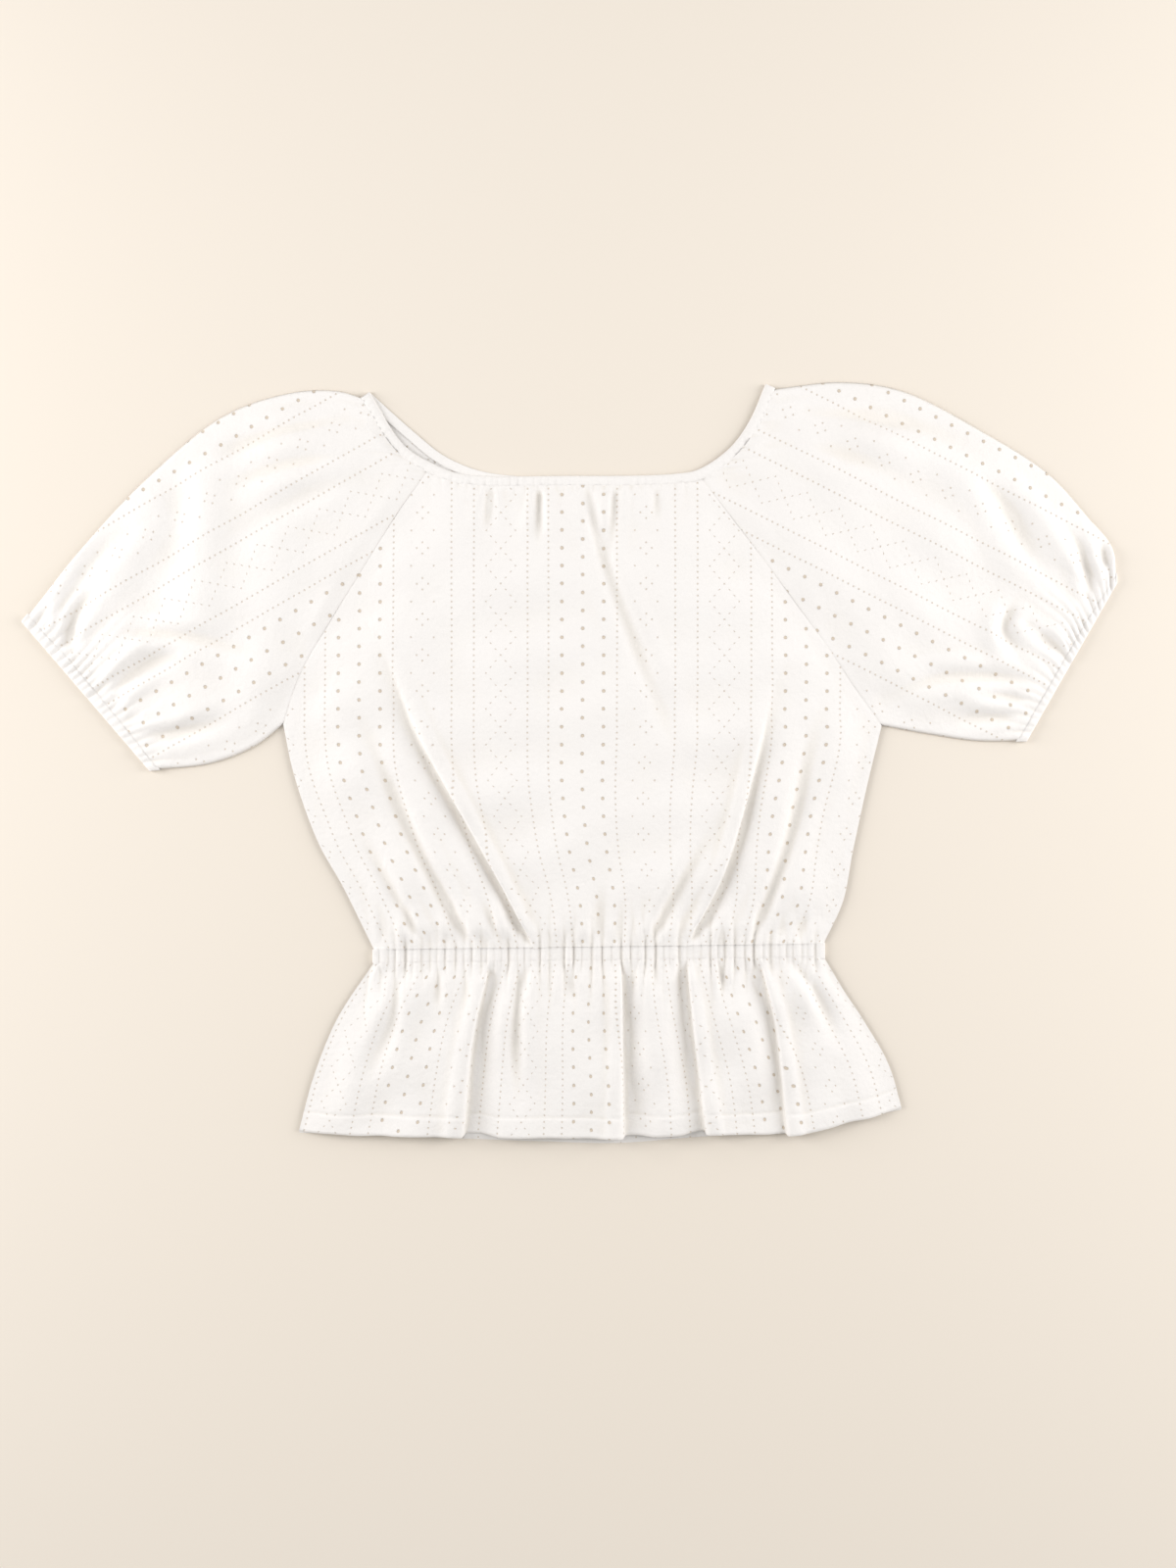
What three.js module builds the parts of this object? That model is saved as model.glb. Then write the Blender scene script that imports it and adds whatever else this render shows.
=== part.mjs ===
// A puff-sleeve top in white pointelle jersey, laid flat with its front up: a wide gathered
// neck, raglan sleeves drawn in at the cuffs, a waist gathered on elastic, and a peplum.
// Millimetres. +Z is up, +X runs across the shoulders and +Y from the hem to the neck.
// The origin is on the surface that the top lies on, under the middle of its outline.
// The two sides are named as they lie: left is -X and right is +X.

import * as THREE from 'three';

// ---- Cloth and trims ----
const WALL = 1.2; // one layer of jersey
const SEAM = 0.3; // gap between pieces that are sewn or lie together
const CURVED_SEAM = 0.7; // the same at the corners of a curved seam's facets
const FRONT_UNDER = WALL + SEAM; // height of the front layer's underside where it is lowest
const EDGE_TOP = FRONT_UNDER + WALL; // height of the two layers where they meet at an edge
const FOLD_ROUND = 1.0; // how far in from a folded edge the cloth is level again
const CASING_WALL = 2.0; // the front of a casing: two layers of jersey round flat elastic
const CASING_TOP = FRONT_UNDER + CASING_WALL;
const NECK_CASING = 6.5; // width of the neck casing
const CUFF_CASING = 7.0; // width of each cuff casing
const WAIST_CASING = 9.0; // width of the elastic channel at the waist
const HEM_TURN = 13; // depth of the turned hem
const HEM_EXTRA = 0.6; // what the turn adds to the wall

// ---- How far the front layer stands off the back one, before folds ----
const LOFT = { bodice: 2.0, peplum: 2.5, sleeve: 2.1 };
const EDGE_FADE = 0.16; // share of a panel over which the loft dies away at its sides
const END_LOFT = { bodice: 0.45, peplum: 0.5, sleeve: 0.35 }; // share of it kept at the gathers
const SWELL_START = 0.05; // share of a panel's length where its swell sets in
const SWELL_END = { bodice: 0.95, sleeve: 0.9 }; // and where it stops
const PEPLUM_RISE = 0.3; // share of the peplum's length over which it rises from the waist

// ---- Outlines as they lie, from the neck outwards and down ----
const NECK_FRONT = [
  [-134, 249], [-111.5, 214], [-90, 200.5], [-73, 194.5], [0, 193],
  [72, 194.5], [87, 197.5], [108, 212], [121, 230], [131.5, 254],
];
const NECK_BACK = [
  [-134, 249], [-105, 223], [-84, 206.5], [-60, 196.5], [-30, 192.5], [0, 191],
  [35, 191], [68, 192.5], [90, 198], [110, 211], [123, 230], [131.5, 254],
];
const LEFT = {
  sleeveHand: 1, // the sleeve is on this hand of the raglan seam, going down: 1 is right
  neckAt: 0.2, // share of the neck curve where the raglan seam starts
  raglan: [[-116, 167.5], [-142.5, 125], [-158, 100], [-181.5, 59], [-192.5, 26]],
  backRaglan: [[-113, 170], [-140, 127], [-158, 98], [-180, 60], [-192.5, 26]],
  top: [[-156, 250], [-186, 249], [-232, 233.5], [-284.5, 191], [-331, 141], [-357, 108]],
  cuffTop: [-368, 94],
  cuffBottom: [-283, -5],
  bottom: [[-241.5, -0.5], [-212, 11]],
  side: [[-185.5, -7], [-169, -53.5], [-152.5, -83]],
  waist: [-131.5, -125.5],
};
const RIGHT = {
  sleeveHand: -1,
  neckAt: 0.766,
  raglan: [[115, 157.5], [144.5, 118], [176, 74.5], [191, 52], [210, 25]],
  backRaglan: [[112, 160], [142, 121], [174, 77], [190, 53], [210, 25]],
  top: [[184, 256], [224, 250], [276.5, 223.5], [322.5, 194], [349, 165], [365, 145]],
  cuffTop: [368, 120],
  cuffBottom: [308, 15],
  bottom: [[276.5, 14.5], [243.5, 19]],
  side: [[200.5, -14], [190.5, -60], [184, -93]],
  waist: [171, -121.5],
};
const PEPLUM_LEFT = [[-156, -172], [-171, -208.5], [-182, -249]];
const PEPLUM_RIGHT = [[185, -154], [197, -172], [214, -202], [223.5, -233.5]];
const HEM_FRONT = [[-73, -250.5], [-14, -251], [32, -251.5], [92, -248.5], [151, -249], [190, -240.5]];
const HEM_BACK = [[-73, -253], [-14, -255], [32, -256], [92, -251.5], [151, -249], [190, -240.5]];

// ---- Folds ----
// A fold is a valley that starts at the gathers. gather and reach are where its line lies across
// the panel (0 at the left or top edge, 1 at the other), at the gathers and at its far end.
// far is how much of the panel's length it keeps to, width is its half-width as a share of the
// panel, and lift is what is left of the loft in the valley.
const BODICE_FOLDS = [
  { name: 'side left', gather: 0.1, reach: 0.055, far: 0.3, width: 0.03, lift: 0.25 },
  { name: 'outer left', gather: 0.208, reach: 0.11, far: 0.52, width: 0.03, lift: 0.1 },
  { name: 'long left', gather: 0.342, reach: 0.17, far: 0.62, width: 0.036, lift: 0 },
  { name: 'middle', gather: 0.485, reach: 0.45, far: 0.16, width: 0.024, lift: 0.4 },
  { name: 'inner right', gather: 0.6, reach: 0.75, far: 0.3, width: 0.03, lift: 0.3 },
  { name: 'long right', gather: 0.69, reach: 0.86, far: 0.6, width: 0.036, lift: 0 },
  { name: 'outer right', gather: 0.83, reach: 0.935, far: 0.54, width: 0.028, lift: 0.1 },
];
const NECK_FOLDS = [
  { name: 'neck left', at: 0.44, far: 0.12, lift: 0.3 },
  { name: 'neck right', at: 0.56, far: 0.45, lift: 0.35 },
];
const PEPLUM_FOLDS = [
  { name: 'side left', gather: 0.065, reach: 0.09, far: 0.75, width: 0.022, lift: 0.45 },
  { name: 'deep left', gather: 0.255, reach: 0.285, far: 1, width: 0.026, lift: 0 },
  { name: 'narrow left', gather: 0.322, reach: 0.363, far: 0.95, width: 0.018, lift: 0.35 },
  { name: 'short', gather: 0.42, reach: 0.455, far: 0.35, width: 0.02, lift: 0.5 },
  { name: 'middle', gather: 0.548, reach: 0.554, far: 1, width: 0.022, lift: 0.05 },
  { name: 'deep right', gather: 0.68, reach: 0.674, far: 1, width: 0.024, lift: 0 },
  { name: 'outer right', gather: 0.842, reach: 0.8, far: 0.95, width: 0.022, lift: 0.1 },
  { name: 'side right', gather: 0.92, reach: 0.925, far: 0.7, width: 0.018, lift: 0.5 },
];
const SLEEVE_FOLDS = {
  left: [
    { name: 'cuff crease', gather: 0.29, reach: 0.2, far: 0.28, width: 0.05, lift: 0.1 },
    { name: 'middle', gather: 0.56, reach: 0.62, far: 0.6, width: 0.045, lift: 0.25 },
    { name: 'underarm', gather: 0.78, reach: 0.85, far: 0.75, width: 0.04, lift: 0.3 },
  ],
  right: [
    { name: 'shoulder', gather: 0.2, reach: 0.22, far: 0.45, width: 0.05, lift: 0.3 },
    { name: 'broad', gather: 0.46, reach: 0.4, far: 0.65, width: 0.05, lift: 0.2 },
    { name: 'underarm', gather: 0.82, reach: 0.8, far: 0.8, width: 0.04, lift: 0.25 },
  ],
};
const RIDGE_LIFT = 1.2; // the cloth stands this much prouder beside a fold
const FADE_FROM = 0.7; // a fold starts to fade at this share of its reach
const FADE_TO = 1.05; // and has gone at this one

// ---- How finely the pieces are faceted ----
const BODICE_ROWS = 16;
const PEPLUM_ROWS = 7;
const SLEEVE_ROWS = 10;
const BACK_COLUMNS = 13;
const BACK_ROWS = 13;
const WIDEST_COLUMN = 0.055; // plain columns fill any wider space between two folds
const NECK_STEPS = 8;
const RAGLAN_STEPS = 10;
const NECK_STATIONS = 40;
const WAIST_STATIONS = 24;
const CUFF_STATIONS = 10;

// ---- Curves ----
const { lerp, smoothstep, clamp } = THREE.MathUtils;

function curveThrough(points) {
  const corners = points.map((p) => (Array.isArray(p) ? new THREE.Vector3(p[0], p[1], 0) : p));
  return new THREE.CatmullRomCurve3(corners, false, 'centripetal');
}

// The point at share t of a curve, moved out by distance on the curve's right-hand side.
function beside(curve, t, distance) {
  const point = curve.getPointAt(t);
  const along = curve.getTangentAt(t);
  return new THREE.Vector3(point.x + along.y * distance, point.y - along.x * distance, 0);
}

// One curve that follows first up to its end, then second. The corner between them falls on
// the one of stops, which are shares of the whole, that is nearest to its share by length.
function chain(first, second, stops) {
  const natural = first.getLength() / (first.getLength() + second.getLength());
  const turn = stops.reduce((best, s) => (
    Math.abs(s - natural) < Math.abs(best - natural) ? s : best));
  return {
    getPointAt: (t) => (t < turn
      ? first.getPointAt(t / turn)
      : second.getPointAt(clamp((t - turn) / (1 - turn), 0, 1))),
  };
}

// count + 1 values of a function over the shares from 0 to 1.
function sampled(count, valueAt) {
  return Array.from({ length: count + 1 }, (_, i) => valueAt(i / count));
}

// A stretch of a neck curve along the outer edge of its casing, from share a to share b.
function neckStretch(neck, a, b) {
  return { getPointAt: (t) => beside(neck, lerp(a, b, t), NECK_CASING + CURVED_SEAM) };
}

// The plan of a panel from the four curves round it: u runs across and v along.
function patch(start, end, sideA, sideB) {
  const corner = [start.getPointAt(0), start.getPointAt(1), end.getPointAt(0), end.getPointAt(1)];
  return (u, v) => {
    const across = start.getPointAt(u).lerp(end.getPointAt(u), v);
    const along = sideA.getPointAt(v).lerp(sideB.getPointAt(v), u);
    const near = corner[0].clone().lerp(corner[1], u);
    const farther = corner[2].clone().lerp(corner[3], u);
    return across.add(along).sub(near.lerp(farther, v));
  };
}

// ---- Closed walls ----
function closedBody(vertices, triangles) {
  const point = (i) => vertices[i];
  let volume = 0;
  for (const [a, b, c] of triangles) {
    volume += point(a).dot(new THREE.Vector3().crossVectors(point(b), point(c)));
  }
  const faces = volume > 0 ? triangles : triangles.map(([a, b, c]) => [a, c, b]);
  const positions = vertices.flatMap((p) => p.toArray());
  const geometry = new THREE.BufferGeometry();
  geometry.setAttribute('position', new THREE.Float32BufferAttribute(positions, 3));
  geometry.setIndex(faces.flat());
  geometry.computeVertexNormals();
  return geometry;
}

// A wall over a grid of columns by rows. place(c, r) gives x, y and the heights under and top.
function gridWall(columns, rows, place) {
  const vertices = [];
  for (let c = 0; c < columns; c += 1) {
    for (let r = 0; r < rows; r += 1) {
      const { x, y, under, top } = place(c, r);
      vertices.push(new THREE.Vector3(x, y, top), new THREE.Vector3(x, y, under));
    }
  }
  const upper = (c, r) => 2 * (c * rows + r);
  const lower = (c, r) => upper(c, r) + 1;
  const triangles = [];
  const quad = (a, b, c, d) => triangles.push([a, b, c], [a, c, d]);
  for (let c = 0; c + 1 < columns; c += 1) {
    for (let r = 0; r + 1 < rows; r += 1) {
      quad(upper(c, r), upper(c, r + 1), upper(c + 1, r + 1), upper(c + 1, r));
      quad(lower(c, r), lower(c + 1, r), lower(c + 1, r + 1), lower(c, r + 1));
    }
  }
  const last = { c: columns - 1, r: rows - 1 };
  for (let c = 0; c < last.c; c += 1) {
    quad(upper(c, 0), upper(c + 1, 0), lower(c + 1, 0), lower(c, 0));
    quad(upper(c + 1, last.r), upper(c, last.r), lower(c, last.r), lower(c + 1, last.r));
  }
  for (let r = 0; r < last.r; r += 1) {
    quad(upper(0, r + 1), upper(0, r), lower(0, r), lower(0, r + 1));
    quad(upper(last.c, r), upper(last.c, r + 1), lower(last.c, r + 1), lower(last.c, r));
  }
  return closedBody(vertices, triangles);
}

// A flattened ring of cloth. It crosses the front layer, turns at a folded edge and comes back
// under it. front holds {x, y, top} and back {x, y}, both from the first fold to the second.
function flatRing(front, back, frontWall) {
  const inward = (list, end) => {
    const edge = end === 0 ? list[0] : list[list.length - 1];
    const next = end === 0 ? list[1] : list[list.length - 2];
    return new THREE.Vector2(next.x - edge.x, next.y - edge.y).normalize();
  };
  const foldPoint = (end, distance, z) => {
    const edge = end === 0 ? front[0] : front[front.length - 1];
    const way = inward(front, end);
    return new THREE.Vector3(edge.x + way.x * distance, edge.y + way.y * distance, z);
  };
  // One face of the ring: depth is how far it is inside the front, and floor its lowest height.
  const face = (depth, floor, level) => {
    const start = front[0].top - depth;
    const finish = front[front.length - 1].top - depth;
    const over = front.slice(1, -1).map((p) => new THREE.Vector3(p.x, p.y, p.top - depth));
    const below = back.slice(1, -1).map((p) => new THREE.Vector3(p.x, p.y, floor)).reverse();
    return [
      foldPoint(0, floor, (start + floor) / 2),
      foldPoint(0, floor + level, start),
      ...over,
      foldPoint(1, floor + level, finish),
      foldPoint(1, floor, (finish + floor) / 2),
      foldPoint(1, floor + level, floor),
      ...below,
      foldPoint(0, floor + level, floor),
    ];
  };
  return { outer: face(0, 0, FOLD_ROUND), inner: face(frontWall, WALL, FOLD_ROUND / 2) };
}

// A tube of cloth through flattened rings, open at both ends.
function tubeWall(rings) {
  const count = rings[0].outer.length;
  const vertices = rings.flatMap((ring) => [...ring.outer, ...ring.inner]);
  const outer = (k, i) => 2 * count * k + (i % count);
  const inner = (k, i) => outer(k, i) + count;
  const triangles = [];
  const quad = (a, b, c, d) => triangles.push([a, b, c], [a, c, d]);
  const end = rings.length - 1;
  for (let i = 0; i < count; i += 1) {
    for (let k = 0; k < end; k += 1) {
      quad(outer(k, i), outer(k, i + 1), outer(k + 1, i + 1), outer(k + 1, i));
      quad(inner(k, i), inner(k + 1, i), inner(k + 1, i + 1), inner(k, i + 1));
    }
    quad(outer(0, i), inner(0, i), inner(0, i + 1), outer(0, i + 1));
    quad(outer(end, i), outer(end, i + 1), inner(end, i + 1), inner(end, i));
  }
  return closedBody(vertices, triangles);
}

// ---- Folds as columns ----
// Each fold gives its panel a valley column and a ridge column on each side of it. Plain columns
// fill the spaces. gather and reach hold where a column lies at the fold's two ends.
function foldColumns(folds, first, last) {
  const columns = [{ gather: first, reach: first, lift: 1, far: 0 }];
  for (const { gather, reach, far, width, lift } of folds) {
    columns.push({ gather: gather - width, reach: reach - width, lift: RIDGE_LIFT, far });
    columns.push({ gather, reach, lift, far });
    columns.push({ gather: gather + width, reach: reach + width, lift: RIDGE_LIFT, far });
  }
  columns.push({ gather: last, reach: last, lift: 1, far: 0 });
  const filled = [columns[0]];
  for (const next of columns.slice(1)) {
    const before = filled[filled.length - 1];
    const wide = Math.max(next.gather - before.gather, next.reach - before.reach);
    const plain = Math.ceil(wide / WIDEST_COLUMN) - 1;
    for (let i = 1; i <= plain; i += 1) {
      const share = i / (plain + 1);
      filled.push({
        gather: lerp(before.gather, next.gather, share),
        reach: lerp(before.reach, next.reach, share),
        lift: 1,
        far: 0,
      });
    }
    filled.push(next);
  }
  return filled;
}

// Where a column lies at distance d from the gathers, and how much of the loft it keeps there.
function columnAt(column, d, span) {
  const across = lerp(column.gather, column.reach, smoothstep(d, 0, span));
  const fade = column.far > 0 ? 1 - smoothstep(d, column.far * FADE_FROM, column.far * FADE_TO) : 0;
  return { across, lift: lerp(1, column.lift, column.far >= 1 ? 1 : fade) };
}

// How full a panel is at share v of its length: least at its gathers and most in the middle.
function swell(v, atGathers, last) {
  return lerp(atGathers, 1, Math.sin(Math.PI * clamp(v, SWELL_START, last)));
}

// The loft dies away towards the two sides of a panel.
function sideFade(u) {
  return Math.sin(smoothstep(Math.min(u, 1 - u), 0, EDGE_FADE) * Math.PI / 2);
}

// ---- Shared curves of the top ----
const neckFront = curveThrough(NECK_FRONT);
const neckBack = curveThrough(NECK_BACK);

function seamsOf(side, neck, raglanPoints) {
  const start = beside(neck, side.neckAt, NECK_CASING + CURVED_SEAM);
  const underarm = raglanPoints[raglanPoints.length - 1];
  return {
    raglan: curveThrough([start, ...raglanPoints]),
    seam: curveThrough([underarm, ...side.side, side.waist]),
  };
}
const frontSeams = {
  left: seamsOf(LEFT, neckFront, LEFT.raglan),
  right: seamsOf(RIGHT, neckFront, RIGHT.raglan),
};
const backSeams = {
  left: seamsOf(LEFT, neckBack, LEFT.backRaglan),
  right: seamsOf(RIGHT, neckBack, RIGHT.backRaglan),
};

// ---- Bodice ----
function bodicePlan(neck, seams, rows) {
  const start = neckStretch(neck, LEFT.neckAt, RIGHT.neckAt);
  const waist = new THREE.LineCurve3(
    new THREE.Vector3(...LEFT.waist, 0),
    new THREE.Vector3(...RIGHT.waist, 0),
  );
  const stops = sampled(rows - 1, (v) => v);
  const left = chain(seams.left.raglan, seams.left.seam, stops);
  const right = chain(seams.right.raglan, seams.right.seam, stops);
  return patch(start, waist, left, right);
}

// Share of a panel's width that a seam gap takes on each side.
function inset(u, width) {
  const edge = SEAM / 2 / width;
  return lerp(edge, 1 - edge, u);
}

const BODICE_WIDTH = 300; // about the narrowest, so the seam gap is never too small
const GATHER_SPAN = 0.55; // the folds fan out over this share of the bodice's length

function frontBodice() {
  const plan = bodicePlan(neckFront, frontSeams, BODICE_ROWS);
  const columns = foldColumns(BODICE_FOLDS, 0, 1);
  return gridWall(columns.length, BODICE_ROWS, (c, r) => {
    const v = r / (BODICE_ROWS - 1);
    const { across, lift } = columnAt(columns[c], 1 - v, GATHER_SPAN);
    const { x, y } = plan(inset(across, BODICE_WIDTH), v);
    let loft = LOFT.bodice * lift * swell(v, END_LOFT.bodice, SWELL_END.bodice);
    for (const fold of NECK_FOLDS) {
      const near = Math.max(0, 1 - Math.abs(across - fold.at) / WIDEST_COLUMN);
      loft *= lerp(1, fold.lift, near * (1 - smoothstep(v, fold.far / 2, fold.far)));
    }
    const under = FRONT_UNDER + loft * sideFade(across);
    return { x, y, under, top: under + WALL };
  });
}

function backBodice() {
  const plan = bodicePlan(neckBack, backSeams, BACK_ROWS);
  return gridWall(BACK_COLUMNS, BACK_ROWS, (c, r) => {
    const { x, y } = plan(inset(c / (BACK_COLUMNS - 1), BODICE_WIDTH), r / (BACK_ROWS - 1));
    return { x, y, under: 0, top: WALL };
  });
}

// ---- Peplum ----
function peplumPlan(hemPoints) {
  const down = WAIST_CASING + 2 * SEAM; // the casing with a seam gap on each side of it
  const startLeft = [LEFT.waist[0], LEFT.waist[1] - down];
  const startRight = [RIGHT.waist[0], RIGHT.waist[1] - down];
  const waist = new THREE.LineCurve3(
    new THREE.Vector3(...startLeft, 0),
    new THREE.Vector3(...startRight, 0),
  );
  const cornerLeft = PEPLUM_LEFT[PEPLUM_LEFT.length - 1];
  const cornerRight = PEPLUM_RIGHT[PEPLUM_RIGHT.length - 1];
  const hem = curveThrough([cornerLeft, ...hemPoints, cornerRight]);
  const left = curveThrough([startLeft, ...PEPLUM_LEFT]);
  const right = curveThrough([startRight, ...PEPLUM_RIGHT]);
  return patch(waist, hem, left, right);
}

// Rows of the peplum: even ones down to the turned hem, then the hem's own step and its edge.
const PEPLUM_LENGTH = 120;
const HEM_STEP = 0.008;
const hemStart = 1 - HEM_TURN / PEPLUM_LENGTH;
const peplumRows = [];
for (let r = 0; r < PEPLUM_ROWS; r += 1) {
  peplumRows.push({ v: hemStart * r / (PEPLUM_ROWS - 1), turn: 0 });
}
peplumRows.push({ v: hemStart + HEM_STEP, turn: HEM_EXTRA });
peplumRows.push({ v: 1, turn: HEM_EXTRA });

function peplumFront() {
  const plan = peplumPlan(HEM_FRONT);
  const columns = foldColumns(PEPLUM_FOLDS, 0, 1);
  return gridWall(columns.length, peplumRows.length, (c, r) => {
    const { v, turn } = peplumRows[r];
    const { across, lift } = columnAt(columns[c], v, 1);
    const { x, y } = plan(across, v);
    const rise = lerp(END_LOFT.peplum, 1, smoothstep(v, 0, PEPLUM_RISE));
    const loft = LOFT.peplum * lift * rise;
    const under = FRONT_UNDER + turn + loft * sideFade(across);
    return { x, y, under, top: under + WALL + turn };
  });
}

function peplumBack() {
  const plan = peplumPlan(HEM_BACK);
  return gridWall(BACK_COLUMNS, peplumRows.length, (c, r) => {
    const { v, turn } = peplumRows[r];
    const { x, y } = plan(c / (BACK_COLUMNS - 1), v);
    return { x, y, under: 0, top: WALL + turn };
  });
}

// ---- Sleeves ----
// u runs from the fold along the top of the arm to the underarm seam, and v from the body out.
const SLEEVE_COLUMNS = {
  left: foldColumns(SLEEVE_FOLDS.left, 0, 1),
  right: foldColumns(SLEEVE_FOLDS.right, 0, 1),
};
const columnStops = (name) => SLEEVE_COLUMNS[name].map((column) => column.reach);

function sleevePlan(side, neck, seams, from, stops) {
  const points = sampled(NECK_STEPS, (t) => neckStretch(neck, from, side.neckAt).getPointAt(t));
  const raglan = sampled(RAGLAN_STEPS, (t) => beside(seams.raglan, t, side.sleeveHand * SEAM));
  const body = chain(curveThrough(points), curveThrough(raglan), stops);
  const cuffTop = new THREE.Vector3(...side.cuffTop, 0);
  const cuffBottom = new THREE.Vector3(...side.cuffBottom, 0);
  const cuff = new THREE.LineCurve3(cuffTop, cuffBottom);
  const top = curveThrough([points[0], ...side.top, cuffTop]);
  const bottom = curveThrough([body.getPointAt(1), ...[...side.bottom].reverse(), cuffBottom]);
  // Share of the sleeve's length that is left at distance from the cuff's edge.
  const fromCuff = (u, distance) => 1 - distance / lerp(top.getLength(), bottom.getLength(), u);
  return { plan: patch(body, cuff, top, bottom), fromCuff };
}

const CUFF_SPAN = 0.6; // the cuff's folds fan out over this share of the sleeve

function sleeve(side, name, from) {
  const columns = SLEEVE_COLUMNS[name];
  const stops = columnStops(name);
  const front = sleevePlan(side, neckFront, frontSeams[name], from, stops);
  const back = sleevePlan(side, neckBack, backSeams[name], from, stops);
  const rings = [];
  for (let r = 0; r < SLEEVE_ROWS; r += 1) {
    const share = r / (SLEEVE_ROWS - 1);
    const along = (u) => share * front.fromCuff(u, CUFF_CASING + SEAM);
    const over = columns.map((column) => {
      const { across, lift } = columnAt(column, 1 - share, CUFF_SPAN);
      const { x, y } = front.plan(across, along(across));
      const loft = LOFT.sleeve * lift * swell(share, END_LOFT.sleeve, SWELL_END.sleeve);
      return { x, y, top: EDGE_TOP + loft * sideFade(across) };
    });
    const below = stops.map((across) => back.plan(across, along(across)));
    rings.push(flatRing(over, below, WALL));
  }
  return tubeWall(rings);
}

// ---- Casings ----
// A casing is a flattened ring too: its two sides are its rings.
function casing(stations, frontEdge, backEdge) {
  const rings = [0, 1].map((edge) => {
    const over = [];
    const below = [];
    for (let i = 0; i <= stations; i += 1) {
      const share = i / stations;
      const { x, y } = frontEdge(share, edge);
      over.push({ x, y, top: CASING_TOP });
      below.push(backEdge(share, edge));
    }
    return flatRing(over, below, CASING_WALL);
  });
  return tubeWall(rings);
}

function neckCasing() {
  return casing(
    NECK_STATIONS,
    (share, edge) => beside(neckFront, share, edge * NECK_CASING),
    (share, edge) => beside(neckBack, share, edge * NECK_CASING),
  );
}

function waistCasing() {
  const edgePoint = (share, edge) => new THREE.Vector3(
    lerp(LEFT.waist[0], RIGHT.waist[0], share),
    lerp(LEFT.waist[1], RIGHT.waist[1], share) - SEAM - edge * WAIST_CASING,
    0,
  );
  return casing(WAIST_STATIONS, edgePoint, edgePoint);
}

function cuffCasing(side, name, from) {
  const seams = frontSeams[name];
  const { plan, fromCuff } = sleevePlan(side, neckFront, seams, from, columnStops(name));
  const edgePoint = (share, edge) => plan(share, fromCuff(share, edge * CUFF_CASING));
  return casing(CUFF_STATIONS, edgePoint, edgePoint);
}

// ---- The top ----
const CLOTH = { color: 0xf7f4ef, roughness: 0.92, metalness: 0 };
const CASING_CLOTH = { color: 0xf3efe9, roughness: 0.94, metalness: 0 };

const pieces = [
  { name: 'back_bodice', geometry: backBodice(), finish: CLOTH },
  { name: 'front_bodice', geometry: frontBodice(), finish: CLOTH },
  { name: 'peplum_back', geometry: peplumBack(), finish: CLOTH },
  { name: 'peplum_front', geometry: peplumFront(), finish: CLOTH },
  { name: 'sleeve_left', geometry: sleeve(LEFT, 'left', 0), finish: CLOTH },
  { name: 'sleeve_right', geometry: sleeve(RIGHT, 'right', 1), finish: CLOTH },
  { name: 'neck_casing', geometry: neckCasing(), finish: CASING_CLOTH },
  { name: 'waist_casing', geometry: waistCasing(), finish: CASING_CLOTH },
  { name: 'cuff_left', geometry: cuffCasing(LEFT, 'left', 0), finish: CASING_CLOTH },
  { name: 'cuff_right', geometry: cuffCasing(RIGHT, 'right', 1), finish: CASING_CLOTH },
];

const top = new THREE.Group();
for (const { name, geometry, finish } of pieces) {
  const mesh = new THREE.Mesh(geometry, new THREE.MeshStandardMaterial(finish));
  mesh.name = name;
  top.add(mesh);
}

export default top;
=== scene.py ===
import bpy
import numpy as np
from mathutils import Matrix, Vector


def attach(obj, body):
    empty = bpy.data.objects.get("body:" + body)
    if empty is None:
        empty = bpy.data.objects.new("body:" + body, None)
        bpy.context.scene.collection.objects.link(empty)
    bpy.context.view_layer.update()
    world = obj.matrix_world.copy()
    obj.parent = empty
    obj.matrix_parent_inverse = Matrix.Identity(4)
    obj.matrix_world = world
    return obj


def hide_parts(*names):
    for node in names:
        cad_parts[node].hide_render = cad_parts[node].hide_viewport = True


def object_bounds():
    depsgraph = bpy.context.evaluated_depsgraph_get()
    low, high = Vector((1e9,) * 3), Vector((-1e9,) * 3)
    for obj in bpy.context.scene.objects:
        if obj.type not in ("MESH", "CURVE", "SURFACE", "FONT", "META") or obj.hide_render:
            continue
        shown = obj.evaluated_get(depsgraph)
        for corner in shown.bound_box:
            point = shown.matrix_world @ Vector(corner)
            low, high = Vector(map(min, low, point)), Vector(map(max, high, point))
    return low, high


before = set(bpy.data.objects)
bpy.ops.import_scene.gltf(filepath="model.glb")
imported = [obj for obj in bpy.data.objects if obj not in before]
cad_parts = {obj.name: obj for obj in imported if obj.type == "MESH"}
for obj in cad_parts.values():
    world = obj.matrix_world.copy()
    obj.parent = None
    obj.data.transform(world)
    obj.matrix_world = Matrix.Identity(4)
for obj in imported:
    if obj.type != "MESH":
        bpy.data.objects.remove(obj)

CAD_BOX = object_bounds()
MM = 0.001
rng = np.random.default_rng(7)

# ---- Heights, in millimetres above the surface ----
CASING_UNDER = 0.1     # underside of a casing's back layer
BACK_Z = 0.35          # outer face of the back layer
BACK_TOP = 1.3         # the highest that the back layer's creases reach
FRONT_LOW = 2.0        # the deepest that a front crease goes
SEAM_Z = 2.3           # the front layer where it is sewn or folded
EDGE_Z = 2.9           # where a front panel meets its casing
TUCK = 0.45            # how far below the panel the casing's own edge is tucked
FOLD_ROUND = 2.4       # radius in plan of a folded edge

# ---- Trims ----
NECK_CASING = 6.5
CUFF_CASING = 7.0
WAIST_CASING = 9.0
HEM_TURN = 13.0

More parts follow.
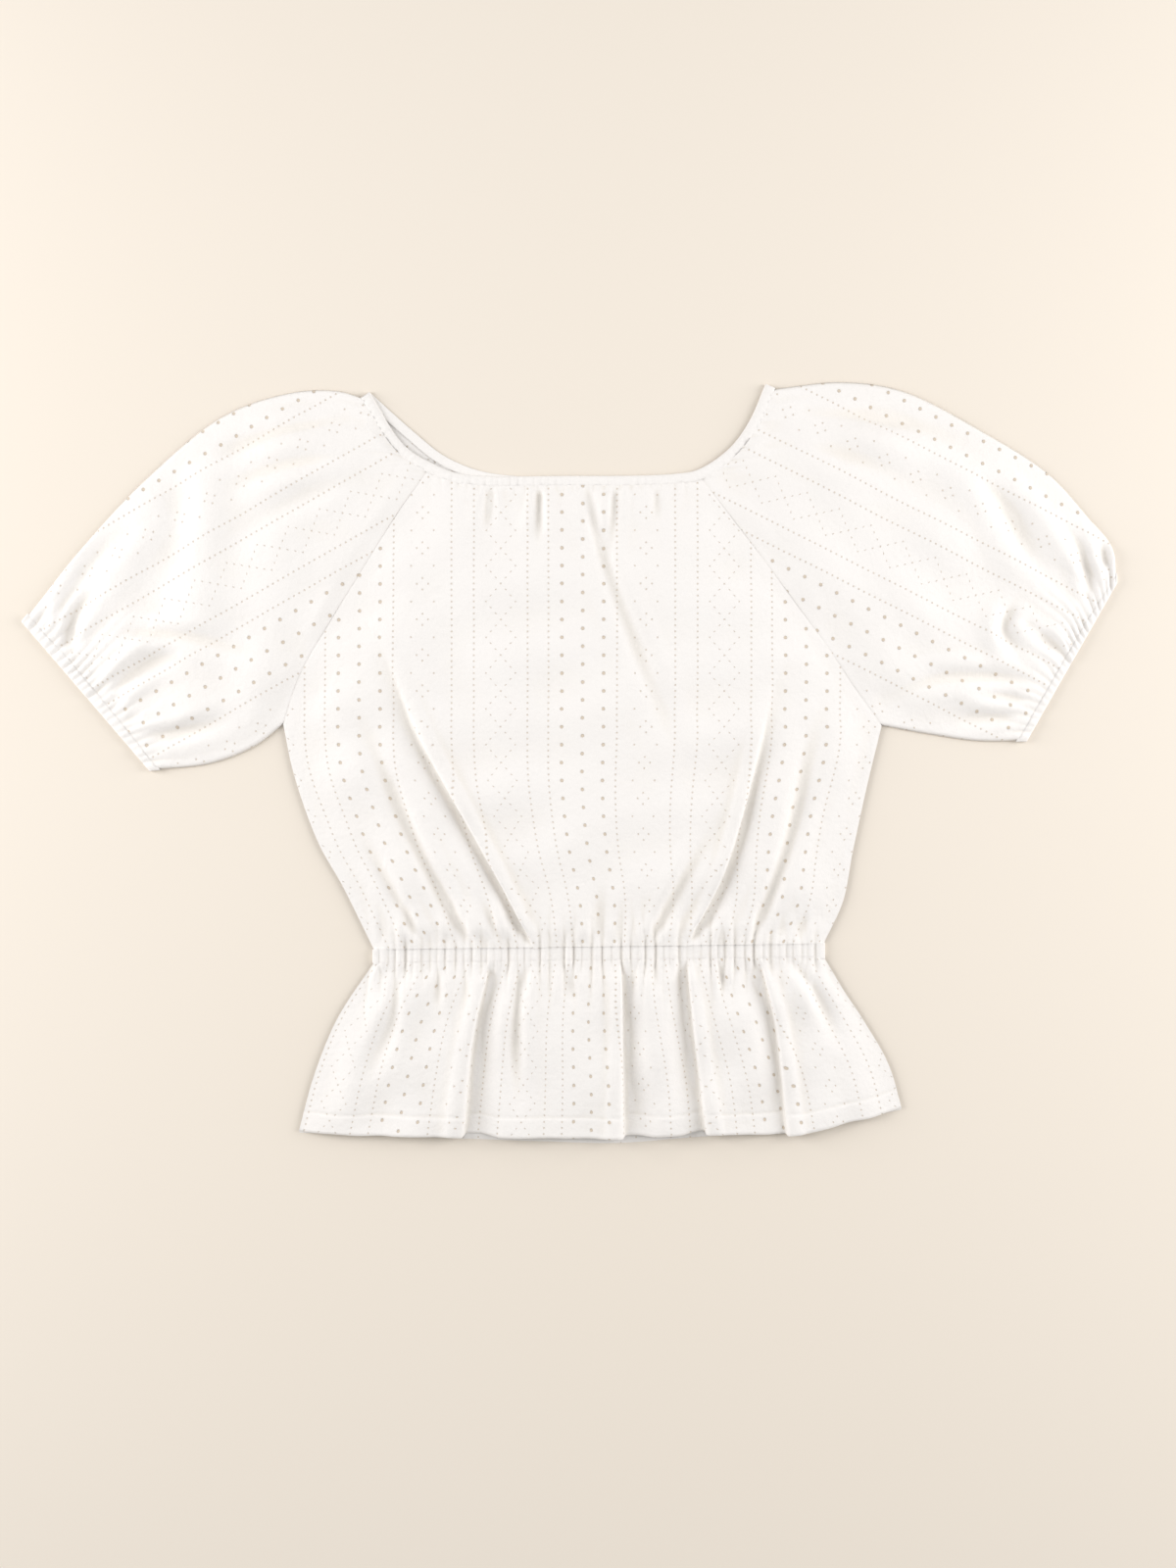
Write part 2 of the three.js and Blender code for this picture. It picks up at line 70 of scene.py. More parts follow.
# ---- Lengths along the cloth ----
BODICE_LENGTH = 330
PEPLUM_LENGTH = 120
CUFF_RUN = 125
NECK_RUN = 330
SLEEVE_BODY_RUN = 300  # a sleeve's inner edge, neck and raglan seam together

# ---- Outlines as they lie ----
NECK_FRONT = [(-134, 249), (-111.5, 214), (-90, 200.5), (-73, 194.5), (0, 193),
              (72, 194.5), (87, 197.5), (108, 212), (121, 230), (131.5, 254)]
NECK_BACK = [(-134, 249), (-105, 223), (-84, 206.5), (-60, 196.5), (-30, 192.5), (0, 191),
             (35, 191), (68, 192.5), (90, 198), (110, 211), (123, 230), (131.5, 254)]
LEFT = dict(
    hand=1, neck_at=0.2,
    raglan=[(-116, 167.5), (-142.5, 125), (-158, 100), (-181.5, 59), (-192.5, 26)],
    top=[(-156, 250), (-186, 249), (-232, 233.5), (-284.5, 191), (-331, 141), (-357, 108)],
    cuff_top=(-368, 94), cuff_bottom=(-283, -5), bottom=[(-241.5, -0.5), (-212, 11)],
    side=[(-185.5, -7), (-169, -53.5), (-152.5, -83)], waist=(-131.5, -125.5))
RIGHT = dict(
    hand=-1, neck_at=0.766,
    raglan=[(115, 157.5), (144.5, 118), (176, 74.5), (191, 52), (210, 25)],
    top=[(184, 256), (224, 250), (276.5, 223.5), (322.5, 194), (349, 165), (365, 145)],
    cuff_top=(368, 120), cuff_bottom=(308, 15), bottom=[(276.5, 14.5), (243.5, 19)],
    side=[(200.5, -14), (190.5, -60), (184, -93)], waist=(171, -121.5))
PEPLUM_LEFT = [(-156, -172), (-171, -208.5), (-182, -249)]
PEPLUM_RIGHT = [(185, -154), (197, -172), (214, -202), (223.5, -233.5)]
HEM_FRONT = [(-73, -250.5), (-14, -251), (32, -251.5), (92, -248.5), (151, -249), (190, -240.5)]
HEM_BACK = [(-73, -253), (-14, -255), (32, -256), (92, -251.5), (151, -249), (190, -240.5)]

# ---- Creases: the line of each trough from the gathers out, half-width, depth, and the side
# whose cloth rolls over the trough: -1 left, 1 right and 0 neither. It is -2 or 2 where the trough
# is a pleat that keeps its depth to its end ----
BODICE_CREASES = [
    ([(-98, -123), (-123, -78), (-146, -38)], 4.5, 3.0, 0),
    ([(-66, -125), (-104, -54), (-133, 12), (-144, 39)], 5.0, 4.2, 0),
    ([(-25, -125), (-42, -91), (-72, -37), (-104, 20), (-130, 84)], 5.5, 6.5, 1),
    ([(-45, -123), (-61, -84)], 3.5, 2.6, 0),
    ([(81, -121), (104, -76), (119.5, -28), (135, 32), (143, 60)], 5.5, 6.0, -1),
    ([(124, -117), (146, -59), (165, 16), (176, 44)], 5.0, 4.0, 0),
    ([(54, -122), (75, -82), (100, -40)], 4.5, 3.6, 0),
    ([(154, -122), (160, -98)], 3.5, 2.2, 0),
    ([(18.5, -125), (20.5, -76)], 4.5, 2.6, 0),
    ([(-1, -126), (1, -104)], 3.5, 2.2, 0),
    ([(-20, 184), (-21, 142)], 3.6, 3.4, 0),
    ([(-53, 184), (-57, 150)], 3.6, 2.2, 0),
    ([(11, 186), (24, 135), (45, 78), (72, 9), (81, -19)], 5.5, 2.8, 0),
    ([(31, 186), (27, 132)], 3.6, 2.4, 0),
    ([(58, 186), (60, 158)], 3.4, 1.6, 0),
]
PEPLUM_CREASES = [
    ([(-113, -140), (-121, -179), (-143, -222)], 5.0, 3.0, 0),
    ([(-52, -134), (-63, -185), (-70, -262)], 7.0, 6.4, -2),
    ([(-31, -134), (-36, -179), (-35, -240)], 4.5, 4.0, 0),
    ([(-1, -134), (1, -164)], 3.6, 2.6, 0),
    ([(36, -134), (37, -185), (38, -262)], 6.0, 5.8, -2),
    ([(78, -132), (83, -185), (92, -262)], 6.0, 6.2, 2),
    ([(127, -132), (137, -175), (146, -262)], 6.0, 5.8, 2),
    ([(151, -133), (168, -159), (186, -200)], 4.5, 3.2, 0),
    ([(-86, -134), (-90, -170)], 3.6, 2.4, 0),
    ([(100, -132), (106, -160)], 3.6, 2.4, 0),
    ([(58, -133), (61, -158)], 3.4, 2.0, 0),
]
LEFT_CREASES = [
    ([(-341, 63), (-333, 97), (-309, 130)], 5.0, 6.5, 0),
    ([(-350, 80), (-338, 108), (-326, 124)], 3.5, 3.4, 0),
    ([(-258, 200), (-266, 150), (-286, 116)], 11.0, 3.4, 0),
    ([(-152, 230), (-200, 221), (-245, 204)], 5.0, 2.8, 0),
    ([(-150, 206), (-195, 198), (-240, 184)], 5.0, 2.4, 0),
    ([(-142, 192), (-192, 172), (-238, 142)], 7.5, 2.4, 0),
    ([(-348, 98), (-312, 142), (-272, 172)], 6.0, 2.6, 0),
    ([(-309, 88), (-255, 84), (-199, 69)], 5.0, 3.0, 0),
    ([(-318, 36), (-286, 64), (-249, 79)], 5.0, 5.0, 0),
    ([(-294, 16), (-258, 21), (-222, 33)], 4.5, 3.8, 0),
    ([(-309, 26), (-284, 31)], 3.5, 2.8, 0),
]
RIGHT_CREASES = [
    ([(270, 199), (296, 167), (313, 138), (330, 110)], 8.0, 4.8, 0),
    ([(299, 108), (292, 90), (308, 66)], 5.0, 4.5, 0),
    ([(361, 128), (356, 152)], 3.5, 3.4, 0),
    ([(354, 102), (343, 142), (322, 168)], 4.5, 4.6, 0),
    ([(160, 236), (224, 229), (276, 210)], 6.0, 2.8, 0),
    ([(150, 214), (205, 200), (250, 176)], 7.0, 2.4, 0),
    ([(318, 52), (292, 56), (248, 56), (211, 44)], 5.0, 4.2, 0),
    ([(312, 42), (258, 48)], 4.0, 3.2, 0),
    ([(303, 30), (255, 30)], 4.5, 2.8, 0),
    ([(336, 70), (312, 88)], 4.0, 3.6, 0),
]

# ---- Puff: each front panel's base over the seams, its loft, the distance from its sides at which
# it is full, and its waves' seed, pitch and height ----
BODICE_PUFF = dict(base=0.4, loft=3.8, side=45, waves=(3, 60, 1.4), waves_side=30)
PEPLUM_PUFF = dict(base=0.3, loft=4.6, side=30, waves=(11, 45, 1.2), waves_side=30)
SLEEVE_PUFF = dict(base=0.7, loft=4.6, side=38, waves=(None, 55, 1.6), waves_side=25)
# The share of its loft that a panel keeps at a gathered edge, and the distance to the full loft.
BODICE_AT_NECK, BODICE_AT_WAIST = (0.4, 60), (0.3, 45)
PEPLUM_AT_WAIST = (0.25, 40)
SLEEVE_AT_CUFF, SLEEVE_AT_BODY = (0.35, 50), (0.4, 50)

# ---- Gathers: height and reach of the ridges at each gathered edge ----
BODICE_GATHERS, BODICE_NECK_GATHERS = (2.6, 19), (1.2, 12)
PEPLUM_GATHERS = (2.9, 22)
SLEEVE_GATHERS, SLEEVE_NECK_GATHERS = (2.5, 24), (1.2, 13)
BACK_GATHERS, BACK_NECK_GATHERS = (0.7, 17), (0.6, 11)
SLEEVE_BACK_GATHERS = (0.7, 18)
# The range of each ridge's half-width and spacing as shares of the pitch, its run as a share of
# the reach, its height as a share of the height, and its drift sideways as it runs.
RIDGE_WIDTH, RIDGE_STEP = (0.5, 0.72), (0.65, 1.35)
RIDGE_RUN, RIDGE_HEIGHT, RIDGE_DRIFT = (0.35, 1.35), (0.45, 1.1), (-0.14, 0.14)
RIDGE_SPREAD = 0.25    # how much a ridge widens over its reach
RIDGE_FALL = 1.6       # how sharply a ridge dies away


# ---- Curves ----
def curve(points, steps=24):
    """A centripetal Catmull-Rom curve through points, as a function of share of its length."""
    p = np.array(points, float)
    p = np.vstack([2 * p[0] - p[1], p, 2 * p[-1] - p[-2]])
    dense = []
    for a, b, c, d in zip(p, p[1:], p[2:], p[3:]):
        t0 = 0.0
        t1 = t0 + np.linalg.norm(b - a) ** 0.5
        t2 = t1 + np.linalg.norm(c - b) ** 0.5
        t3 = t2 + np.linalg.norm(d - c) ** 0.5
        t = np.linspace(t1, t2, steps, endpoint=False)[:, None]
        ab = (t1 - t) / (t1 - t0) * a + (t - t0) / (t1 - t0) * b
        bc = (t2 - t) / (t2 - t1) * b + (t - t1) / (t2 - t1) * c
        cd = (t3 - t) / (t3 - t2) * c + (t - t2) / (t3 - t2) * d
        abc = (t2 - t) / (t2 - t0) * ab + (t - t0) / (t2 - t0) * bc
        bcd = (t3 - t) / (t3 - t1) * bc + (t - t1) / (t3 - t1) * cd
        dense.append((t2 - t) / (t2 - t1) * abc + (t - t1) / (t2 - t1) * bcd)
    dense = np.vstack(dense + [p[-2:-1]])
    return by_length(dense)


def by_length(dense):
    run = np.concatenate([[0], np.cumsum(np.linalg.norm(np.diff(dense, axis=0), axis=1))])

    def at(t):
        s = np.asarray(t) * run[-1]
        return np.stack([np.interp(s, run, dense[:, 0]), np.interp(s, run, dense[:, 1])], -1)
    at.length = run[-1]
    at.dense = dense
    return at


def beside(line, t, distance):
    """Points at shares t, moved out on the curve's right hand."""
    step = 0.004
    along = line(np.clip(np.asarray(t) + step, 0, 1)) - line(np.clip(np.asarray(t) - step, 0, 1))
    along /= np.linalg.norm(along, axis=-1, keepdims=True)
    return line(t) + distance * np.stack([along[..., 1], -along[..., 0]], -1)


def offset(line, start, end, distance, count=60):
    return by_length(beside(line, np.linspace(start, end, count), distance))


def chain(first, second, turn):
    """first up to share turn, then second."""
    def at(t):
        t = np.asarray(t)
        early = first(np.clip(t / turn, 0, 1))
        late = second(np.clip((t - turn) / (1 - turn), 0, 1))
        return np.where((t < turn)[..., None], early, late)
    return at


def patch(start, end, side_a, side_b):
    """Plan positions at u across and v along, from the four curves round a panel."""
    def at(u, v):
        uu, vv = u[..., None], v[..., None]
        across = start(u) * (1 - vv) + end(u) * vv
        along = side_a(v) * (1 - uu) + side_b(v) * uu
        corners = ((start(0.0) * (1 - uu) + start(1.0) * uu) * (1 - vv)
                   + (end(0.0) * (1 - uu) + end(1.0) * uu) * vv)
        return across + along - corners
    return at


def smooth(x, low, high):
    t = np.clip((x - low) / (high - low), 0, 1)
    return t * t * (3 - 2 * t)


# ---- Relief ----
def from_line(xy, points):
    """Signed distance from a line, right of its way positive, and the share along it."""
    line = curve(points, 10).dense if len(points) > 2 else np.array(points, float)
    best = np.full(xy.shape[:-1], np.inf)
    signed = np.zeros_like(best)
    share = np.zeros_like(best)
    run = np.concatenate([[0], np.cumsum(np.linalg.norm(np.diff(line, axis=0), axis=1))])
    for i, (a, b) in enumerate(zip(line, line[1:])):
        way = b - a
        length = np.linalg.norm(way)
        rel = xy - a
        t = np.clip((rel @ way) / length ** 2, 0, 1)
        gap = rel - t[..., None] * way
        d = np.linalg.norm(gap, axis=-1)
        near = d < best
        best = np.where(near, d, best)
        turn = rel[..., 0] * way[1] - rel[..., 1] * way[0]
        signed = np.where(near, np.sign(turn) * d, signed)
        share = np.where(near, (run[i] + t * length) / run[-1], share)
    return signed, share


CREASE_FADE, PLEAT_FADE, FADE_FROM = 0.92, 0.15, 0.45  # share of depth lost, and from where
START_WIDTH, WIDENING = 0.75, 0.6           # a trough's width at its start, and its gain
ROLLED_SIDE, OPEN_SIDE, PLEAT_SIDE = 0.55, 1.3, 1.9    # its two sides' widths, where one rolls
SHOULDER, SHOULDER_AT, SHOULDER_WIDE, LEAN = 0.4, 2.1, 1.15, 0.45
ROLL, ROLL_AT = 0.5, 1.5
SLEEVE_START = dict(start=0.1, opening=0.37)


def crease(xy, z, points, width, depth, over, start=0.6, opening=0.12):
    """Presses one trough into z, raises the cloth beside it, and rolls one side over it. It begins
    with start as a share of its depth, and has opened at share opening of its length."""
    d, share = from_line(xy, points)
    way = np.array(points[-1], float) - np.array(points[0], float)
    right = np.array([way[1], -way[0]]) / np.linalg.norm(way)
    if right[0] < 0:
        right, d = -right, -d
    pleat = abs(over) == 2
    fade = PLEAT_FADE if pleat else CREASE_FADE
    strength = depth * (1 - fade * smooth(share, FADE_FROM, 1.0))
    strength = strength * (start + (1 - start) * smooth(share, 0, opening))
    wide = width * (START_WIDTH + WIDENING * share)
    if over:
        open_side = PLEAT_SIDE if pleat else OPEN_SIDE
        wide = np.where(d * over > 0, ROLLED_SIDE * wide, open_side * wide)
    beyond = np.abs(d) / wide
    z -= strength * np.exp(-beyond ** 2)
    lean = 1 + LEAN * np.sign(d) * np.sign(over)
    z += SHOULDER * strength * lean * np.exp(-((beyond - SHOULDER_AT) / SHOULDER_WIDE) ** 2)
    if over:
        near = d * np.sign(over) / (ROLLED_SIDE * width)
        roll = ROLL * strength * np.exp(-(near - ROLL_AT) ** 2) * np.sign(over)
        xy -= roll[..., None] * right
    return z


def ridges(span, pitch):
    """Uneven ridges drawn along a gathered edge: place, half-width, run, height and drift."""
    rows = []
    at = span[0]
    while at < span[1]:
        rows.append((at, pitch * rng.uniform(*RIDGE_WIDTH), rng.uniform(*RIDGE_RUN),
                     rng.uniform(*RIDGE_HEIGHT), rng.uniform(*RIDGE_DRIFT)))
        at += pitch * rng.uniform(*RIDGE_STEP)
    return rows


def gathers(s, d, rows, height, reach):
    """Rounded ridges with sharp valleys: s along the gathered edge and d away from it."""
    z = np.zeros_like(s)
    d = np.maximum(d, 0)
    for at, wide, run, tall, drift in rows:
        spread = wide * (1 + RIDGE_SPREAD * d / reach)
        hump = np.clip(1 - ((s - at - drift * d) / spread) ** 2, 0, 1)
        z = np.maximum(z, tall * hump * np.exp(-(d / (run * reach)) ** RIDGE_FALL))
    return z * height


WAVES, WAVE_PITCH = 9, (0.6, 1.8)


def waves(xy, seed, size, height):
    """Broad soft unevenness, so that no stretch of cloth is a plane."""
    draw = np.random.default_rng(seed)
    z = np.zeros(xy.shape[:-1])
    for _ in range(WAVES):
        angle = draw.uniform(0, np.pi)
        pitch = size * draw.uniform(*WAVE_PITCH)
        phase = draw.uniform(0, 2 * np.pi)
        z += np.sin((xy @ [np.cos(angle), np.sin(angle)]) * 2 * np.pi / pitch + phase)
    return z * height / np.sqrt(WAVES)


# ---- Meshes ----
# Painted shade: a warm darker colour laid into creases and hollows, strongest where a point lies
# below the mean of the cloth round it.
PAINTED_SHADE_REACH = 4       # grid steps each way that a point is compared with
PAINTED_SHADE_DEPTH = 0.9     # millimetres below them that get the full painted crease shade


def painted_shade_mask(z):
    """How far each point lies below the cloth round it, from 0 to 1: the mask of the painted shade
    in creases and hollows.
    """
    mean = z
    reach = PAINTED_SHADE_REACH
    for axis in (0, 1):
        padded = np.pad(mean, [(reach, reach) if i == axis else (0, 0) for i in (0, 1)], "edge")
        mean = sum(np.roll(padded, k, axis) for k in range(-reach, reach + 1)) / (2 * reach + 1)
        mean = mean[reach:-reach] if axis == 0 else mean[:, reach:-reach]
    return np.clip((mean - z) / PAINTED_SHADE_DEPTH, 0, 1)


def grid_mesh(name, xy, z, cloth, wrap=False):
    """A mesh over a grid of points with the cloth's own coordinates as its UV map."""
    nu, nv = z.shape
    verts = np.concatenate([xy, z[..., None]], -1).reshape(-1, 3) * MM
    index = np.arange(nu * nv).reshape(nu, nv)
    left = index if wrap else index[:-1]
    right = np.roll(index, -1, 0) if wrap else index[1:]
    faces = np.stack([left[:, :-1], left[:, 1:], right[:, 1:], right[:, :-1]], -1).reshape(-1, 4)
    mesh = bpy.data.meshes.new(name)
    mesh.vertices.add(len(verts))
    mesh.vertices.foreach_set("co", verts.ravel())
    mesh.loops.add(faces.size)
    mesh.loops.foreach_set("vertex_index", faces.ravel())
    mesh.polygons.add(len(faces))
    mesh.polygons.foreach_set("loop_start", np.arange(0, faces.size, 4))
    mesh.update(calc_edges=True)
    mesh.polygons.foreach_set("use_smooth", np.ones(len(faces), bool))
    # Stores the painted crease shade mask on each point.
    shade_mask = mesh.attributes.new("PaintedShade", "FLOAT", "POINT")
    shade_mask.data.foreach_set("value", painted_shade_mask(z).ravel())
    uv = mesh.uv_layers.new(name="Cloth")
    uv.data.foreach_set("uv", (cloth.reshape(-1, 2) * MM)[faces.ravel()].ravel())
    mesh.validate()
    obj = bpy.data.objects.new(name, mesh)
    bpy.context.scene.collection.objects.link(obj)
    return obj


# ---- Plans of the panels ----
neck_front = curve(NECK_FRONT)
neck_back = curve(NECK_BACK)
CORNER = 0.55          # share of the bodice's length at the underarm
SLEEVE_CORNER = 0.3    # share of the sleeve's inner edge that is neck


def raglan_of(side, neck):
    start = beside(neck, side["neck_at"], NECK_CASING)
    return curve([tuple(start)] + side["raglan"])


def bodice_plan(neck):
    sides = []
    for side in (LEFT, RIGHT):
        seam = curve([side["raglan"][-1]] + side["side"] + [side["waist"]])
        sides.append(chain(raglan_of(side, neck), seam, CORNER))
    start = offset(neck, LEFT["neck_at"], RIGHT["neck_at"], NECK_CASING)
    waist = by_length(np.array([LEFT["waist"], RIGHT["waist"]], float))
    return patch(start, waist, *sides)


def peplum_plan(hem_points):
    corners = [(side["waist"][0], side["waist"][1] - WAIST_CASING) for side in (LEFT, RIGHT)]
    hem = curve([PEPLUM_LEFT[-1]] + hem_points + [PEPLUM_RIGHT[-1]])
    waist = by_length(np.array(corners, float))
    return patch(waist, hem, curve([corners[0]] + PEPLUM_LEFT), curve([corners[1]] + PEPLUM_RIGHT))


def sleeve_plan(side, neck):
    from_end = 0.0 if side is LEFT else 1.0
    part = offset(neck, from_end, side["neck_at"], NECK_CASING)
    body = chain(part, raglan_of(side, neck), SLEEVE_CORNER)
    cuff = by_length(np.array([side["cuff_top"], side["cuff_bottom"]], float))
    top = curve([tuple(part(0.0))] + side["top"] + [side["cuff_top"]])
    bottom = curve([side["raglan"][-1]] + side["bottom"][::-1] + [side["cuff_bottom"]])
    return patch(body, cuff, top, bottom), top, bottom


def shares(nu, nv):
    return np.meshgrid(np.linspace(0, 1, nu), np.linspace(0, 1, nv), indexing="ij")


# ---- Edges ----
EDGE_START = -2        # gaps are measured from this far outside an edge
DRAWN_REACH, NECK_DRAWN = 16, 9
SEWN_RISE, SEWN_REACH = 0.5, 14
GROOVE, GROOVE_WIDE = 0.45, 0.8
SUPPORT, SUPPORT_SOFT = 0.3, 2


def drawn_down(z, gap, reach=DRAWN_REACH):
    """Brings cloth down to the height at which it meets a casing."""
    return EDGE_Z + (z - EDGE_Z) * smooth(gap, EDGE_START, reach)


def sewn_edge(z, gap):
    """Draws cloth down gently to a sewn seam and presses the seam's own narrow groove."""
    level = SEAM_Z + SEWN_RISE
    groove = GROOVE * np.exp(-(gap / GROOVE_WIDE) ** 2)
    return level + (z - level) * smooth(gap, EDGE_START, SEWN_REACH) - groove


def fold_edge(distance, radius=FOLD_ROUND):
    """How far a face has risen, from 0 at a rounded edge to 1 on the level."""
    near = np.clip(distance / radius, 0, 1)
    return np.sqrt(1 - (1 - near) ** 2)


def held_up(z):
    """Keeps a deep crease off the back layer and flattens it softly at its lowest."""
    return np.maximum(z, FRONT_LOW + SUPPORT * np.tanh((z - FRONT_LOW) / SUPPORT_SOFT))


def filled(gap, kept, reach):
    """Share of the loft at a distance from a gathered edge that keeps some of it."""
    return kept + (1 - kept) * smooth(gap, 0, reach)


def puffed(xy, shape, side_gap, fullness, seed=None):
    """A front panel's height before its creases."""
    own_seed, pitch, height = shape["waves"]
    loft = shape["loft"] * smooth(side_gap, 0, shape["side"]) * fullness
    uneven = waves(xy, seed or own_seed, pitch, height) * smooth(side_gap, 0, shape["waves_side"])
    return SEAM_Z + shape["base"] + loft + uneven


def gap_from_sides(xy, u):
    """Distance from the nearer side of a panel, and the panel's width at each row."""
    width = np.linalg.norm(xy[-1] - xy[0], axis=-1)[None, :]
    return np.minimum(u, 1 - u) * width, width


# ---- Fronts ----
CHEST_OFFSET = 118     # cloth coordinate at the middle of the frame, at the chest
CHEST_SPAN = (-74, 328)    # cloth coordinates of the bodice's sides where it is gathered
DRAWN_IN = (-50, 40)   # millimetres below the frame's middle over which the pattern draws in
PEPLUM_SPAN = (-100, 370)
BODICE_GRID, PEPLUM_GRID = (250, 210), (330, 120)
BODICE_BACK_GRID, PEPLUM_BACK_GRID = (150, 120), (200, 60)
HEM_STEP, HEM_STEP_HALF = 0.35, 0.5
HEM_GROOVE, HEM_GROOVE_WIDE = 0.5, 0.9
HEM_ROUND, HEM_DROP = 1.4, 1.1
HEM_LEVEL, HEM_SWING, HEM_LIMITS = 5.5, 0.45, (-2, 4)  # folds draw the hem up and let it down
PEPLUM_SEW = (-1, 6)


def bodice_cloth(xy, u):
    straight = xy[..., 0] + CHEST_OFFSET
    gathered = CHEST_SPAN[0] + (CHEST_SPAN[1] - CHEST_SPAN[0]) * u
    across = straight + (gathered - straight) * smooth(-xy[..., 1], *DRAWN_IN)
    return np.stack([across, xy[..., 1]], -1)


def peplum_cloth(xy, u):
    return np.stack([PEPLUM_SPAN[0] + (PEPLUM_SPAN[1] - PEPLUM_SPAN[0]) * u, xy[..., 1]], -1)


def front_bodice():
    u, v = shares(*BODICE_GRID)
    xy = bodice_plan(neck_front)(u, v)
    cloth = bodice_cloth(xy, u)
    side_gap, _ = gap_from_sides(xy, u)
    neck_gap = v * BODICE_LENGTH
    waist_gap = (1 - v) * BODICE_LENGTH
    fullness = filled(neck_gap, *BODICE_AT_NECK) * filled(waist_gap, *BODICE_AT_WAIST)
    z = puffed(xy, BODICE_PUFF, side_gap, fullness)
    for row in BODICE_CREASES:
        z = crease(xy, z, *row)
    z = drawn_down(drawn_down(z, waist_gap), neck_gap, NECK_DRAWN)
    z += gathers(xy[..., 0], waist_gap, WAIST_RIDGES, *BODICE_GATHERS)
    z += gathers(xy[..., 0], neck_gap, NECK_RIDGES, *BODICE_NECK_GATHERS)
    z = sewn_edge(held_up(z), side_gap)
    return grid_mesh("front_bodice_cloth", xy, z, cloth)


def peplum_front():
    u, v = shares(*PEPLUM_GRID)
    xy = peplum_plan(HEM_FRONT)(u, v)
    cloth = peplum_cloth(xy, u)
    side_gap, _ = gap_from_sides(xy, u)
    waist_gap = v * PEPLUM_LENGTH
    hem_gap = (1 - v) * PEPLUM_LENGTH
    z = puffed(xy, PEPLUM_PUFF, side_gap, filled(waist_gap, *PEPLUM_AT_WAIST))
    for row in PEPLUM_CREASES:
        z = crease(xy, z, *row)
    z = drawn_down(z, waist_gap)
    z += gathers(xy[..., 0], waist_gap, WAIST_RIDGES, *PEPLUM_GATHERS)
    z = held_up(z)
    z += HEM_STEP * smooth(-hem_gap, -HEM_TURN - HEM_STEP_HALF, -HEM_TURN + HEM_STEP_HALF)
    z -= HEM_GROOVE * np.exp(-((hem_gap - HEM_TURN) / HEM_GROOVE_WIDE) ** 2)
    xy[..., 1] += HEM_SWING * np.clip(HEM_LEVEL - z, *HEM_LIMITS) * smooth(v, 0.5, 1)
    z = SEAM_Z + (z - SEAM_Z) * smooth(side_gap, *PEPLUM_SEW)
    z -= HEM_DROP * (1 - fold_edge(hem_gap, HEM_ROUND))
    return grid_mesh("peplum_front_cloth", xy, z, cloth)


# ---- Backs: flat below, their creases pressed inwards ----
MIDDLE_X = 10          # the back's creases are the front's, mirrored about this line
BACK_DEPTH, BACK_WIDTH = 0.22, 0.8     # a back crease as a share of the front's
BACK_HEM_DROP = 0.25


def back_relief(xy, rows, middle):
    z = np.full(xy.shape[:-1], 0.0)
    for points, width, depth, _ in rows:
        mirrored = [(2 * middle - x, y) for x, y in points]
        d, share = from_line(xy, mirrored)
        across = np.exp(-(d / (BACK_WIDTH * width)) ** 2)
        z += BACK_DEPTH * depth * (1 - smooth(share, 0.5, 1)) * across
    return z


def pressed(z):
    """Lays the back's relief between its outer face and the highest that it reaches."""
    room = BACK_TOP - BACK_Z
    return BACK_Z + room * np.tanh(z / room)


def back_panel(name, plan, counts, rows, cloth_of, length, neck_end, hem):
    u, v = shares(*counts)
    xy = plan(u, v)
    z = back_relief(xy, rows, MIDDLE_X)
    z += gathers(xy[..., 0], (1 - v if neck_end else v) * length, BACK_RIDGES, *BACK_GATHERS)
    if neck_end:
        z += gathers(xy[..., 0], v * length, NECK_RIDGES, *BACK_NECK_GATHERS)
    z = pressed(z)
    if hem:
        z -= BACK_HEM_DROP * (1 - fold_edge((1 - v) * length, HEM_ROUND))
    return grid_mesh(name, xy, z, cloth_of(xy, u))


# ---- Sleeves: one cloth, folded along the top of the arm ----
SLEEVE_FRONT_COLUMNS, SLEEVE_BACK_COLUMNS, SLEEVE_ROWS = 150, 70, 170
NECK_BLEND = 0.02      # share of the inner edge over which the neck's gathers stop
NO_SEAM = 20.0         # a gap at which a seam no longer tells


